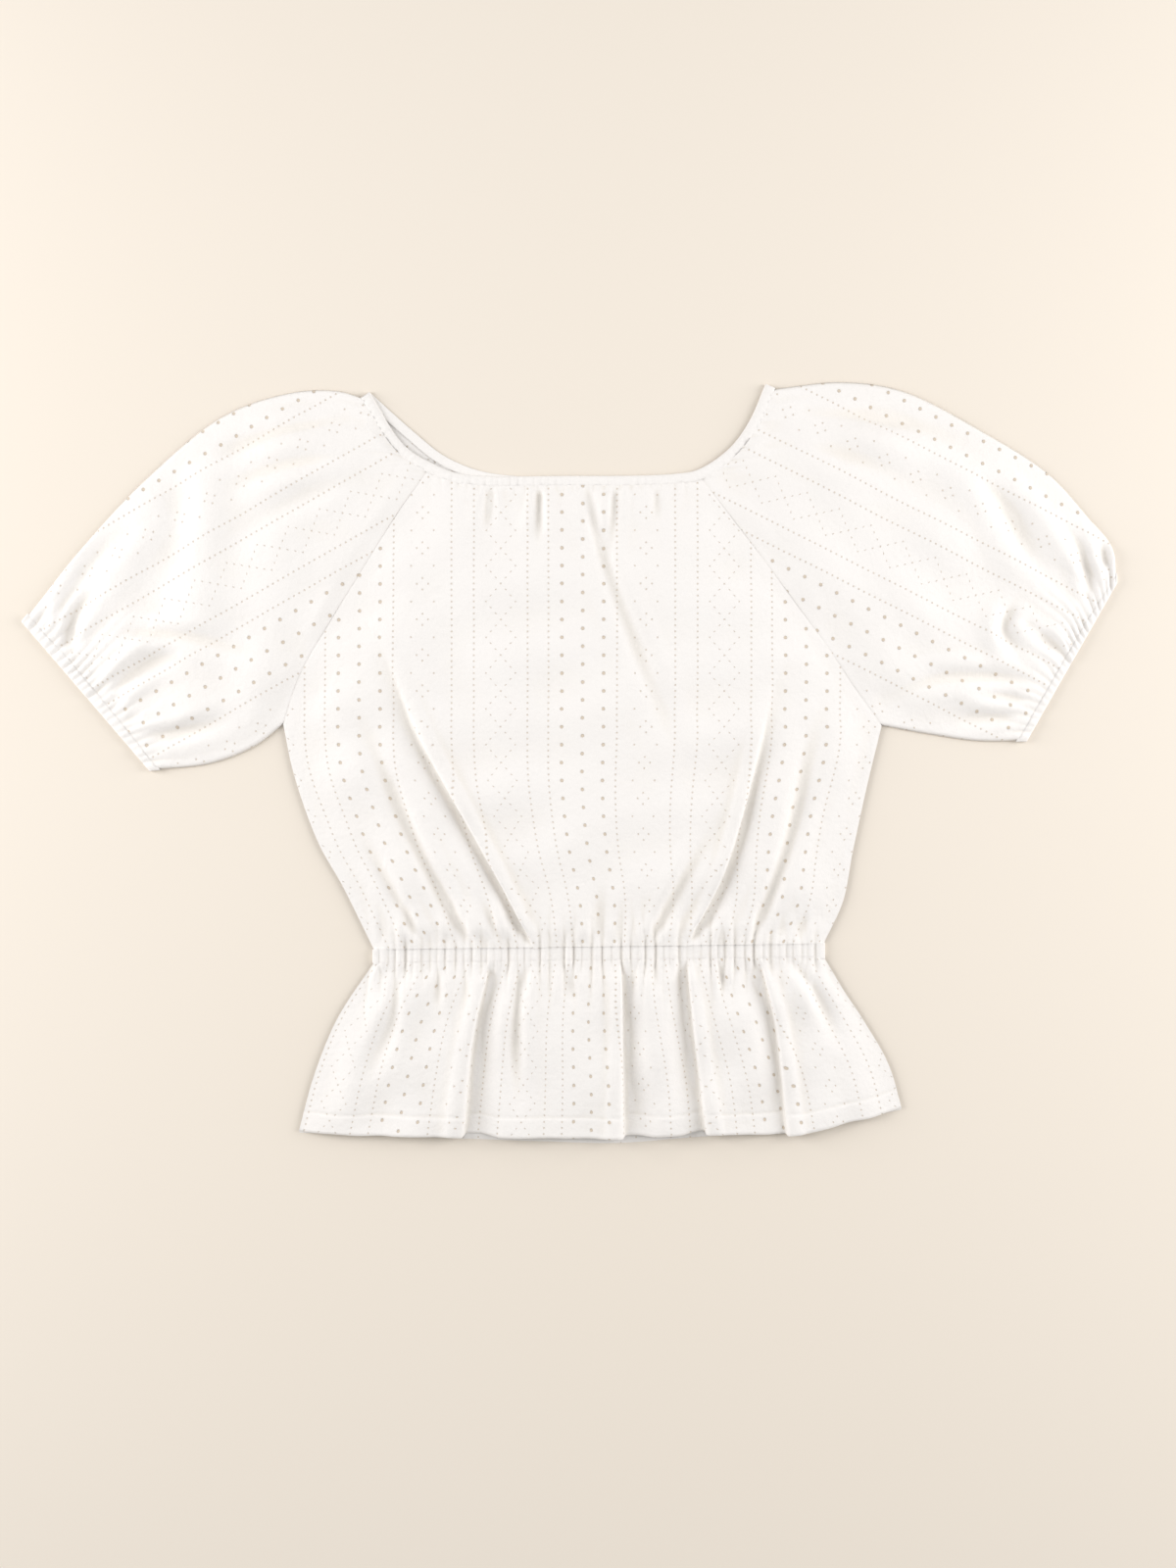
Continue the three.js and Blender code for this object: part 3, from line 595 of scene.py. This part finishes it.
def sleeve(side, name, rows, grain, seed):
    front_plan, top, bottom = sleeve_plan(side, neck_front)
    back_plan = sleeve_plan(side, neck_back)[0]
    u, v = shares(SLEEVE_FRONT_COLUMNS, SLEEVE_ROWS)
    reach = top.length + (bottom.length - top.length) * u
    v = v * (1 - CUFF_CASING / reach)
    xy = front_plan(u, v)
    edge_gap, width = gap_from_sides(xy, u)
    body_gap = v * reach
    cuff_gap = (1 - v) * reach - CUFF_CASING
    fullness = filled(cuff_gap, *SLEEVE_AT_CUFF) * filled(body_gap, *SLEEVE_AT_BODY)
    z = puffed(xy, SLEEVE_PUFF, edge_gap, fullness, seed)
    for row in rows:
        z = crease(xy, z, *row, **SLEEVE_START)
    z = drawn_down(z, cuff_gap)
    z += gathers(u * CUFF_RUN, cuff_gap, CUFF_RIDGES, *SLEEVE_GATHERS)
    z = np.where(u < SLEEVE_CORNER, drawn_down(z, body_gap, NECK_DRAWN), z)
    neck_only = smooth(SLEEVE_CORNER - u, 0, NECK_BLEND)
    neck_ridges = gathers(u * SLEEVE_BODY_RUN, body_gap, CUFF_RIDGES, *SLEEVE_NECK_GATHERS)
    z = held_up(z + neck_ridges * neck_only)
    z = sewn_edge(z, np.where(u > SLEEVE_CORNER, body_gap, NO_SEAM))
    middle = (BACK_Z + SEAM_Z) / 2
    z = middle + (z - middle) * fold_edge(edge_gap)
    ub, vb = shares(SLEEVE_BACK_COLUMNS, SLEEVE_ROWS)
    ub = ub[::-1][1:-1]
    vb = vb[1:-1]
    reach_b = top.length + (bottom.length - top.length) * ub
    vb = vb * (1 - CUFF_CASING / reach_b)
    back = back_plan(ub, vb)
    cuff_gap_b = (1 - vb) * reach_b - CUFF_CASING
    zb = back_relief(back, rows, back[..., 0].mean())
    zb += gathers(ub * CUFF_RUN, cuff_gap_b, CUFF_RIDGES, *SLEEVE_BACK_GATHERS)
    zb = middle + (pressed(zb) - middle) * fold_edge(np.minimum(ub, 1 - ub) * width)
    ring = np.concatenate([xy, back])
    across = ring @ np.array(grain["across"]) + grain["shift"]
    along = ring @ np.array([-grain["across"][1], grain["across"][0]])
    return grid_mesh(name, ring, np.concatenate([z, zb]), np.stack([across, along], -1), wrap=True)


# ---- Casings: a ruched roll of cloth over flat elastic, all the way round ----
CASING_STEP = 0.9      # between stations along a casing
SECTION_POINTS = 17
SECTION_END = 2.94     # in half turns: the section starts at 1 and stops just short of closing
UPPER_FROM = 2.01      # past this the section is on top
END_TURN = 8           # steps round each end, from the front to the back
END_BULGE = 0.9
CLOTH_FULLNESS = 1.6   # cloth taken up for each millimetre of casing
EDGE_SHARP, CROWN_SHARP, RIM_SHARP = 0.4, 0.8, 0.5
EDGE_RUCHE = 0.8       # how much of its ridges the front keeps at its two edges
SPREAD = 1.24          # the front reaches this much wider, under the panels sewn to it
TUCK_WIDE = 0.3
BACK_SWELL = (0.8, 0.3)
FLOOR_LIFT = 0.05


def casing(name, front, back, width, rows, run, ruche, crown, free):
    """front and back give plan points at share t and side 0 to 1, both from end to end; side 0 is
    a rim where free, and is sewn to a panel where not. Side 1 is always sewn. run is where the
    front's two ends lie along the gathered edge."""
    t = np.linspace(0, 1, int(front.length / CASING_STEP))
    around = np.linspace(np.pi, SECTION_END * np.pi, SECTION_POINTS)
    side = 0.5 - 0.5 * np.cos(around)
    level = np.sin(around)
    bulge = np.abs(level)
    upper = around > UPPER_FROM * np.pi
    along = run[0] + t * (run[1] - run[0])
    swell = gathers(along, np.zeros_like(t), rows, height=1.0, reach=1.0)[:, None]
    tucked = TUCK * np.exp(-(bulge / TUCK_WIDE) ** 2)
    ruched = ruche * swell * (EDGE_RUCHE + (1 - EDGE_RUCHE) * bulge)
    top = EDGE_Z - tucked + crown * bulge ** CROWN_SHARP + ruched
    rim = np.where(side < 0.5, bulge ** RIM_SHARP, 1.0) if free else 1.0
    front_z = np.where(upper, BACK_TOP + (top - BACK_TOP) * rim, BACK_TOP + FLOOR_LIFT)
    half = (BACK_TOP - CASING_UNDER) / 2
    puff = np.sign(level) * bulge ** EDGE_SHARP * (BACK_SWELL[0] + BACK_SWELL[1] * swell)
    back_z = CASING_UNDER + half * (1 + puff)
    under_panel = upper & (side > (0.5 if free else -1))
    spread = 0.5 + (side - 0.5) * np.where(under_panel, SPREAD, 1.0)
    plans = [np.stack([front(t, x) for x in spread], 1),
             np.stack([back(t[::-1], x) for x in side], 1)]
    levels = [front_z, back_z[::-1]]
    unrolled = (t * front.length)[:, None] * CLOTH_FULLNESS
    cloth = np.stack(np.broadcast_arrays(unrolled, side * width), -1)
    rings, heights, marks = [], [], []
    for face in (0, 1):
        rings.append(plans[face])
        heights.append(levels[face])
        marks.append(cloth)
        end = plans[face][-1]
        way = plans[face][-1].mean(0) - plans[face][-3].mean(0)
        way /= np.linalg.norm(way)
        for k in range(1, END_TURN):
            angle = np.pi * k / END_TURN
            mix = 0.5 - 0.5 * np.cos(angle)
            rings.append((end + way * END_BULGE * np.sin(angle))[None])
            heights.append((levels[face][-1] * (1 - mix) + levels[1 - face][0] * mix)[None])
            marks.append(cloth[-1:])
    return grid_mesh(name, np.concatenate(rings), np.concatenate(heights),
                     np.concatenate(marks), wrap=True)


def neck_edge(neck):
    def at(t, side):
        return beside(neck, t, side * NECK_CASING)
    at.length = neck.length
    return at


def waist_edge():
    a, b = np.array(LEFT["waist"], float), np.array(RIGHT["waist"], float)

    def at(t, side):
        line = a + np.asarray(t)[:, None] * (b - a)
        return line - [0, side * WAIST_CASING]
    at.length = np.linalg.norm(b - a)
    return at


def cuff_edge(side):
    plan, top, bottom = sleeve_plan(side, neck_front)

    def at(t, edge):
        reach = top.length + (bottom.length - top.length) * np.asarray(t)
        return plan(np.asarray(t), 1 - edge * CUFF_CASING / reach)
    at.length = np.linalg.norm(np.subtract(side["cuff_top"], side["cuff_bottom"]))
    return at


# ---- Materials ----
PALE, DEEP = (0.88, 0.86, 0.84), (0.865, 0.84, 0.815)
# The eyelets are real holes, painted rather than cut: their colour is painted shade, the lower
# layer and floor seen dim through each hole.
HOLE_SHADE_COLOUR = (0.60, 0.50, 0.38)
# Painted shade colour for the creases and hollows, mixed in by the painted shade mask.
PAINTED_SHADE_COLOUR = (0.78, 0.72, 0.62)
PAINTED_SHADE_SHARE, SMALL_SHARE, BIG_SHARE = 0.32, 0.65, 0.85    # how much of each colour shows
SMALL_SINK, BIG_SINK = 0.0005, 0.0009
PAPER, PAPER_DEEP = (0.82, 0.76, 0.68), (0.82, 0.75, 0.655)
JERSEY_FINISH = {"Roughness": 0.88, "Specular IOR Level": 0.25, "Sheen Weight": 0.25,
                 "Sheen Roughness": 0.6}
PAPER_FINISH = {"Roughness": 0.9, "Specular IOR Level": 0.1}
# Each layer of the knit's surface: scale, detail and height in metres.
NAP, STITCHES, LOOPS = (1400, 3, 0.00018), (300, 3, 0.0006), (90, 3, 0.0012)
BUMP_STRENGTH = 0.6
CLOTH_TINT, PAPER_TINT = (28, 4), (1.3, 2)     # scale and detail of each tint's drift


class Maths:
    """Arithmetic on shader values, each step one Math node."""

    def __init__(self, tree, socket):
        self.tree, self.socket = tree, socket

    def step(self, operation, *others):
        node = self.tree.nodes.new("ShaderNodeMath")
        node.operation = operation
        for port, value in zip(node.inputs, (self,) + others):
            if isinstance(value, Maths):
                self.tree.links.new(value.socket, port)
            else:
                port.default_value = value
        return Maths(self.tree, node.outputs[0])

    def __add__(self, other): return self.step("ADD", other)
    def __sub__(self, other): return self.step("SUBTRACT", other)
    def __mul__(self, other): return self.step("MULTIPLY", other)
    def size(self): return self.step("ABSOLUTE")
    def least(self, other): return self.step("MINIMUM", other)
    def most(self, other): return self.step("MAXIMUM", other)
    def wrap(self, period): return self.step("FLOORED_MODULO", period)
    def fold(self, half): return self.step("PINGPONG", half)

    def apart(self, other):
        return (self * self + other * other).step("SQRT")

    def inside(self, radius, soft):
        node = self.tree.nodes.new("ShaderNodeMapRange")
        node.interpolation_type = "SMOOTHSTEP"
        self.tree.links.new(self.socket, node.inputs["Value"])
        for key, value in (("From Min", radius - soft), ("From Max", radius + soft),
                           ("To Min", 1.0), ("To Max", 0.0)):
            node.inputs[key].default_value = value
        return Maths(self.tree, node.outputs[0])


REPEAT = 150.0                       # width of the pattern's repeat across the cloth
LINES = (0.0, 39.0, 54.0, 90.0, 104.0)   # rows of small eyelets between the strips
LINE_PITCH, LINE_HOLE = 4.0, 0.62
FLOWER_AT, FLOWER_PITCH, FLOWER_REACH, FLOWER_HOLE = 19.5, 24.0, 3.8, 0.6
ZIGZAG_AT, ZIGZAG_SWING, ZIGZAG_PITCH, ZIGZAG_HOLE = 72.0, 10.0, 24.0, 0.5
ZIGZAG_STEP = 4.0
BIG_AT, BIG_PITCH, BIG_HOLE = (113.0, 127.0, 141.0), 12.0, 1.15
SMALL_SOFT, ZIGZAG_SOFT, BIG_SOFT = 0.3, 0.25, 0.35    # width of a hole's soft rim
FAR = 500.0                          # keeps the coordinate above zero along the whole cloth
TO_MM = 1000.0


def eyelets(tree):
    """Where the knitted eyelets are, 1 in a hole, with the big ones first."""
    uv = tree.nodes.new("ShaderNodeUVMap")
    uv.uv_map = "Cloth"
    split = tree.nodes.new("ShaderNodeSeparateXYZ")
    tree.links.new(uv.outputs[0], split.inputs[0])
    across = (Maths(tree, split.outputs[0]) * TO_MM).wrap(REPEAT)
    along = Maths(tree, split.outputs[1]) * TO_MM
    line = (across - LINES[0]).size().least((across - REPEAT).size())
    for at in LINES[1:]:
        line = line.least((across - at).size())
    small = line.apart((along + FAR).fold(LINE_PITCH / 2)).inside(LINE_HOLE, SMALL_SOFT)
    petal_x = (across - FLOWER_AT).size()
    petal_y = along.fold(FLOWER_PITCH / 2)
    flower = petal_x.apart(petal_y - FLOWER_REACH).least((petal_x - FLOWER_REACH).apart(petal_y))
    inner = (petal_x - FLOWER_REACH * 2).apart(petal_y - FLOWER_PITCH / 2)
    small = small.most(flower.least(inner).inside(FLOWER_HOLE, SMALL_SOFT))
    swing = along.fold(ZIGZAG_PITCH / 2) * (2 * ZIGZAG_SWING / ZIGZAG_PITCH)
    for sign in (1.0, -1.0):
        track = (across - ZIGZAG_AT - swing * sign).size()
        zigzag = track.apart(along.fold(ZIGZAG_STEP / 2)).inside(ZIGZAG_HOLE, ZIGZAG_SOFT)
        small = small.most(zigzag)
    big = None
    for i, at in enumerate(BIG_AT):
        shift = BIG_PITCH / 2 if i == 1 else 0.0
        hole = (across - at).size().apart((along + shift).fold(BIG_PITCH / 2))
        big = hole if big is None else big.least(hole)
    return big.inside(BIG_HOLE, BIG_SOFT), small


def noise(tree, scale, detail, rough=0.5):
    place = tree.nodes.new("ShaderNodeTexCoord")
    node = tree.nodes.new("ShaderNodeTexNoise")
    node.inputs["Scale"].default_value = scale
    node.inputs["Detail"].default_value = detail
    node.inputs["Roughness"].default_value = rough
    tree.links.new(place.outputs["Object"], node.inputs["Vector"])
    return Maths(tree, node.outputs["Fac"])


def mixed(tree, share, first, second):
    node = tree.nodes.new("ShaderNodeMix")
    node.data_type = "RGBA"
    tree.links.new(share.socket, node.inputs["Factor"])
    for port, colour in ((node.inputs["A"], first), (node.inputs["B"], second)):
        if isinstance(colour, tuple):
            port.default_value = (*colour, 1)
        else:
            tree.links.new(colour, port)
    return node.outputs["Result"]


def finished(name, finish):
    """A material with a Principled shader that has the finish's values."""
    mat = bpy.data.materials.new(name)
    mat.use_nodes = True
    shader = mat.node_tree.nodes["Principled BSDF"]
    for key, value in finish.items():
        shader.inputs[key].default_value = value
    return mat, mat.node_tree, shader


def layer(tree, row):
    scale, detail, height = row
    return noise(tree, scale, detail) * height


def jersey(name, patterned):
    mat, tree, shader = finished(name, JERSEY_FINISH)
    colour = mixed(tree, noise(tree, *CLOTH_TINT), PALE, DEEP)
    # Painted shade: the crease colour laid over the cloth where the mesh's painted shade mask is
    # high.
    shade_mask = tree.nodes.new("ShaderNodeAttribute")
    shade_mask.attribute_name = "PaintedShade"
    shade_share = Maths(tree, shade_mask.outputs["Fac"]) * PAINTED_SHADE_SHARE
    colour = mixed(tree, shade_share, colour, PAINTED_SHADE_COLOUR)
    height = layer(tree, NAP) + (layer(tree, STITCHES) + layer(tree, LOOPS))
    if patterned:
        big, small = eyelets(tree)
        # Paints each eyelet with the painted shade of the layers beneath it.
        colour = mixed(tree, small * SMALL_SHARE, colour, HOLE_SHADE_COLOUR)
        colour = mixed(tree, big * BIG_SHARE, colour, HOLE_SHADE_COLOUR)
        height = height - big * BIG_SINK - small * SMALL_SINK
    tree.links.new(colour, shader.inputs["Base Color"])
    bump = tree.nodes.new("ShaderNodeBump")
    bump.inputs["Distance"].default_value = 1.0
    bump.inputs["Strength"].default_value = BUMP_STRENGTH
    tree.links.new(height.socket, bump.inputs["Height"])
    tree.links.new(bump.outputs[0], shader.inputs["Normal"])
    return mat


CLOTH = jersey("jersey", True)
RUCHED = jersey("casing_jersey", False)

# ---- The pieces ----
LEFT_GRAIN = dict(across=(0.5, -0.866), shift=-7)
RIGHT_GRAIN = dict(across=(-0.454, -0.891), shift=-4.2)
LEFT_SEED, RIGHT_SEED = 21, 22
WAIST_RIDGES = ridges((-130, 170), 5.6)
BACK_RIDGES = ridges((-130, 170), 6.3)
NECK_RIDGES = ridges((-96, 92), 6.0)
CUFF_RIDGES = ridges((0, CUFF_RUN), 5.6)
RIM_RIDGES = ridges((0, NECK_RUN), 4.6)
WAIST_ENDS = (LEFT["waist"][0], RIGHT["waist"][0])


def dress(obj, node, material):
    obj.data.materials.append(material)
    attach(obj, "root")
    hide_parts(node)


back = back_panel("back_bodice_cloth", bodice_plan(neck_back), BODICE_BACK_GRID,
                  BODICE_CREASES, bodice_cloth, BODICE_LENGTH, True, False)
front = front_bodice()
skirt_back = back_panel("peplum_back_cloth", peplum_plan(HEM_BACK), PEPLUM_BACK_GRID,
                        PEPLUM_CREASES, peplum_cloth, PEPLUM_LENGTH, False, True)
skirt_front = peplum_front()
arm_left = sleeve(LEFT, "sleeve_left_cloth", LEFT_CREASES, LEFT_GRAIN, LEFT_SEED)
arm_right = sleeve(RIGHT, "sleeve_right_cloth", RIGHT_CREASES, RIGHT_GRAIN, RIGHT_SEED)
neck = casing("neck_casing_cloth", neck_edge(neck_front), neck_edge(neck_back), NECK_CASING,
              RIM_RIDGES, (0, NECK_RUN), ruche=0.8, crown=0.6, free=True)
waist = casing("waist_casing_cloth", waist_edge(), waist_edge(), WAIST_CASING,
               WAIST_RIDGES, WAIST_ENDS, ruche=2.7, crown=-0.9, free=False)
cuff_left = casing("cuff_left_cloth", cuff_edge(LEFT), cuff_edge(LEFT), CUFF_CASING,
                   CUFF_RIDGES, (0, CUFF_RUN), ruche=2.3, crown=0.0, free=True)
cuff_right = casing("cuff_right_cloth", cuff_edge(RIGHT), cuff_edge(RIGHT), CUFF_CASING,
                    CUFF_RIDGES, (0, CUFF_RUN), ruche=2.3, crown=0.0, free=True)

dress(back, "back_bodice", CLOTH)
dress(front, "front_bodice", CLOTH)
dress(skirt_back, "peplum_back", CLOTH)
dress(skirt_front, "peplum_front", CLOTH)
dress(arm_left, "sleeve_left", CLOTH)
dress(arm_right, "sleeve_right", CLOTH)
dress(neck, "neck_casing", RUCHED)
dress(waist, "waist_casing", RUCHED)
dress(cuff_left, "cuff_left", RUCHED)
dress(cuff_right, "cuff_right", RUCHED)


# ---- Floor, light and camera ----
FLOOR_HALF = 3.0
# Each softbox: place, and power in watts.
SOFTBOXES = {"softbox_left": ((-1.45, 0.25, 0.7), 19.0),
             "softbox_right": ((1.45, 0.25, 0.7), 17.8)}
SOFTBOX_SIZE, SOFTBOX_COLOUR = (0.8, 1.2), (1.0, 0.99, 1.0)
ROOM_COLOUR, ROOM_STRENGTH = (1.0, 0.985, 0.96, 1), 0.57
VIEW_HEIGHT = 1.056                 # what the picture takes in from top to bottom
VIEW_SHIFT = (0.0125, -0.0139)      # the picture's middle from the garment's
LENS, SENSOR = 50.0, 36.0


def floor():
    mesh = bpy.data.meshes.new("floor")
    half = FLOOR_HALF
    mesh.from_pydata([(-half, -half, 0), (half, -half, 0), (half, half, 0), (-half, half, 0)], [],
                     [(0, 1, 2, 3)])
    obj = bpy.data.objects.new("floor", mesh)
    bpy.context.scene.collection.objects.link(obj)
    mat, tree, shader = finished("paper", PAPER_FINISH)
    tint = mixed(tree, noise(tree, *PAPER_TINT), PAPER, PAPER_DEEP)
    tree.links.new(tint, shader.inputs["Base Color"])
    obj.data.materials.append(mat)


def area_light(name, place, power):
    """A rectangular softbox that faces the middle of the garment."""
    data = bpy.data.lights.new(name, "AREA")
    data.shape = "RECTANGLE"
    data.size, data.size_y = SOFTBOX_SIZE
    data.energy = power
    data.color = SOFTBOX_COLOUR
    obj = bpy.data.objects.new(name, data)
    obj.location = place
    obj.rotation_euler = (-Vector(place)).to_track_quat("-Z", "Y").to_euler()
    bpy.context.scene.collection.objects.link(obj)


floor()
for name, (place, power) in SOFTBOXES.items():
    area_light(name, place, power)
world = bpy.data.worlds.new("room")
world.use_nodes = True
world.node_tree.nodes["Background"].inputs["Color"].default_value = ROOM_COLOUR
world.node_tree.nodes["Background"].inputs["Strength"].default_value = ROOM_STRENGTH
bpy.context.scene.world = world
bpy.context.scene.view_settings.view_transform = "Standard"

low, high = (Vector(corner) for corner in CAD_BOX)
middle = (low + high) / 2
camera_data = bpy.data.cameras.new("camera")
camera_data.lens = LENS
camera_data.sensor_width = SENSOR
camera = bpy.data.objects.new("camera", camera_data)
camera.location = (middle.x + VIEW_SHIFT[0], middle.y + VIEW_SHIFT[1], VIEW_HEIGHT * LENS / SENSOR)
bpy.context.scene.collection.objects.link(camera)
bpy.context.scene.camera = camera
